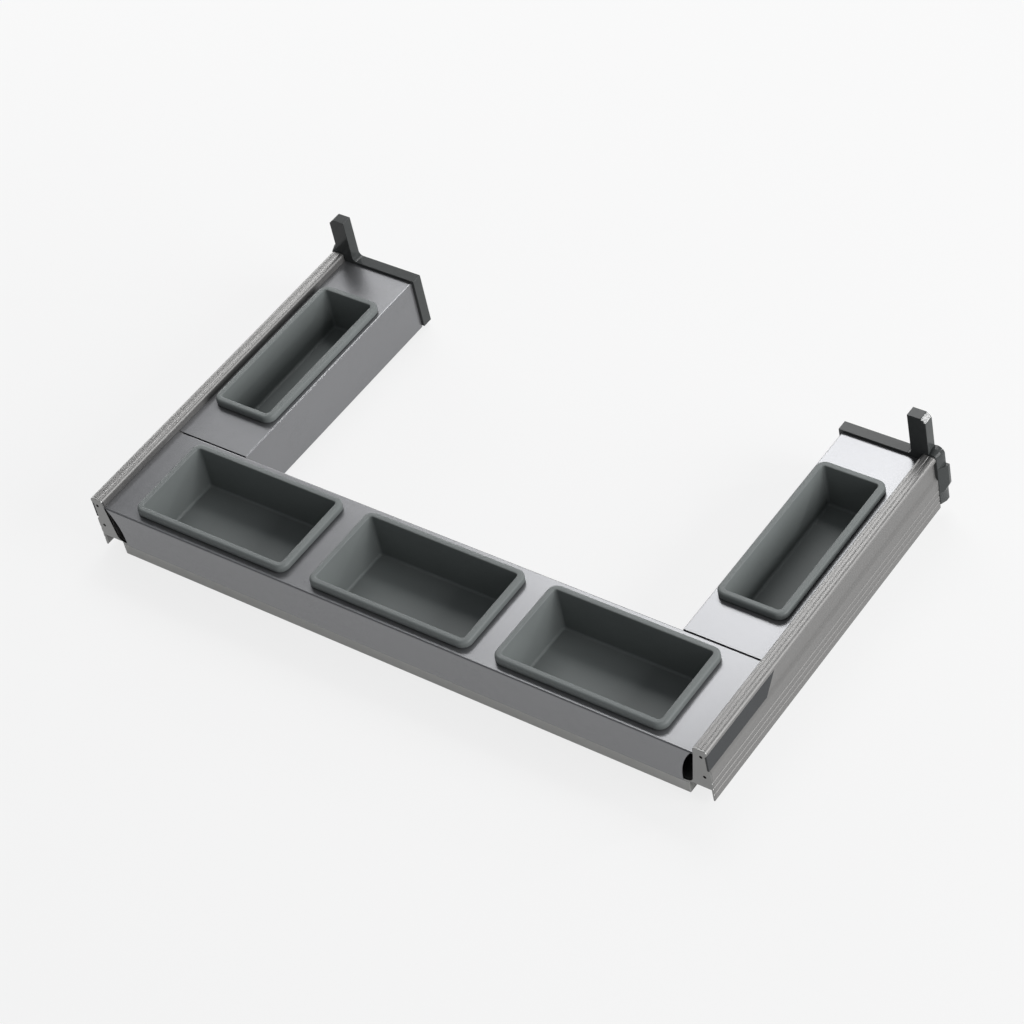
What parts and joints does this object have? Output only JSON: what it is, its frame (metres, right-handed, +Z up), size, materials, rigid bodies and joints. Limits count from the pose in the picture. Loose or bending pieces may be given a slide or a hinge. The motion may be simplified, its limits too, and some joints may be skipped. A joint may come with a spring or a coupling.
{
  "type": "under-sink pull-out",
  "caption": "U-shaped under-sink drawer with extruded side profiles, lift-out bins and full-extension ball runners; the U leaves room for the sink trap.",
  "frame": {"origin": "centre of the overall width and depth, on the cabinet floor under the runners", "axes": "+X to the right seen from the front, +Y to the back of the cabinet, +Z up; the drawer opens towards -Y"},
  "size_m": [0.867, 0.484, 0.138],
  "materials": {
    "anodised_aluminium": "satin anodised extrusion with fine lines along its length",
    "cast_end": "satin grey end plate",
    "grey_plastic": "satin moulded plastic",
    "bracket_plastic": "fine-grained moulded plastic",
    "tray_sheet": "smooth silver-grey coated sheet with a soft gloss",
    "coated_board": "grey laminate-faced board",
    "bin_plastic": "smooth satin grey-green plastic",
    "runner_steel": "zinc-plated rolled steel",
    "cage_plastic": "natural white plastic",
    "ball_steel": "polished balls",
    "stop_rubber": "black rubber",
    "screw_steel": "zinc-plated"
  },
  "bodies": {
    "cabinet_rails": {"cabinet_rail_left": "runner_steel", "cabinet_rail_right": "runner_steel", "rail_stop_left": "stop_rubber", "rail_stop_right": "stop_rubber"},
    "drawer": {"side_profile_left": "anodised_aluminium", "side_profile_right": "anodised_aluminium", "front_plate_left": "cast_end", "front_plate_right": "cast_end", "side_cover_left": "grey_plastic", "side_cover_right": "grey_plastic", "rear_bracket_left": "bracket_plastic", "rear_bracket_right": "bracket_plastic", "tray_front": "tray_sheet", "tray_left": "tray_sheet", "tray_right": "tray_sheet", "base_board": "coated_board", "drawer_rail_left": "runner_steel", "drawer_rail_right": "runner_steel", "bracket_screws": "screw_steel", "board_screws": "screw_steel", "tray_screws": "screw_steel", "rail_screws": "screw_steel"},
    "middle_member_left": {"middle_rail_left": "runner_steel"},
    "lower_cage_left": {"cage_lower_left": "cage_plastic", "balls_lower_left": "ball_steel"},
    "upper_cage_left": {"cage_upper_left": "cage_plastic", "balls_upper_left": "ball_steel"},
    "middle_member_right": {"middle_rail_right": "runner_steel"},
    "lower_cage_right": {"cage_lower_right": "cage_plastic", "balls_lower_right": "ball_steel"},
    "upper_cage_right": {"cage_upper_right": "cage_plastic", "balls_upper_right": "ball_steel"},
    "bin_front_left": {"bin_front_left": "bin_plastic"},
    "bin_front_centre": {"bin_front_centre": "bin_plastic"},
    "bin_front_right": {"bin_front_right": "bin_plastic"},
    "bin_side_left": {"bin_side_left": "bin_plastic"},
    "bin_side_right": {"bin_side_right": "bin_plastic"}
  },
  "joints": [
    {"name": "drawer_slide", "type": "slide", "parent": "cabinet_rails", "child": "drawer", "axis": [0, -1, 0], "range_m": [0, 0.45]},
    {"name": "middle_member_slide_left", "type": "slide", "parent": "cabinet_rails", "child": "middle_member_left", "axis": [0, -1, 0], "range_m": [0, 0.225]},
    {"name": "lower_cage_slide_left", "type": "slide", "parent": "cabinet_rails", "child": "lower_cage_left", "axis": [0, -1, 0], "range_m": [0, 0.1125]},
    {"name": "upper_cage_slide_left", "type": "slide", "parent": "cabinet_rails", "child": "upper_cage_left", "axis": [0, -1, 0], "range_m": [0, 0.3375]},
    {"name": "middle_member_slide_right", "type": "slide", "parent": "cabinet_rails", "child": "middle_member_right", "axis": [0, -1, 0], "range_m": [0, 0.225]},
    {"name": "lower_cage_slide_right", "type": "slide", "parent": "cabinet_rails", "child": "lower_cage_right", "axis": [0, -1, 0], "range_m": [0, 0.1125]},
    {"name": "upper_cage_slide_right", "type": "slide", "parent": "cabinet_rails", "child": "upper_cage_right", "axis": [0, -1, 0], "range_m": [0, 0.3375]},
    {"name": "bin_lift_front_left", "type": "slide", "parent": "drawer", "child": "bin_front_left", "axis": [0, 0, 1], "range_m": [0, 0.08]},
    {"name": "bin_lift_front_centre", "type": "slide", "parent": "drawer", "child": "bin_front_centre", "axis": [0, 0, 1], "range_m": [0, 0.08]},
    {"name": "bin_lift_front_right", "type": "slide", "parent": "drawer", "child": "bin_front_right", "axis": [0, 0, 1], "range_m": [0, 0.08]},
    {"name": "bin_lift_side_left", "type": "slide", "parent": "drawer", "child": "bin_side_left", "axis": [0, 0, 1], "range_m": [0, 0.08]},
    {"name": "bin_lift_side_right", "type": "slide", "parent": "drawer", "child": "bin_side_right", "axis": [0, 0, 1], "range_m": [0, 0.08]}
  ],
  "couplings": [
    {"joint": "middle_member_slide_left", "follows": "drawer_slide", "ratio": 0.5},
    {"joint": "lower_cage_slide_left", "follows": "drawer_slide", "ratio": 0.25},
    {"joint": "upper_cage_slide_left", "follows": "drawer_slide", "ratio": 0.75},
    {"joint": "middle_member_slide_right", "follows": "drawer_slide", "ratio": 0.5},
    {"joint": "lower_cage_slide_right", "follows": "drawer_slide", "ratio": 0.25},
    {"joint": "upper_cage_slide_right", "follows": "drawer_slide", "ratio": 0.75}
  ]
}
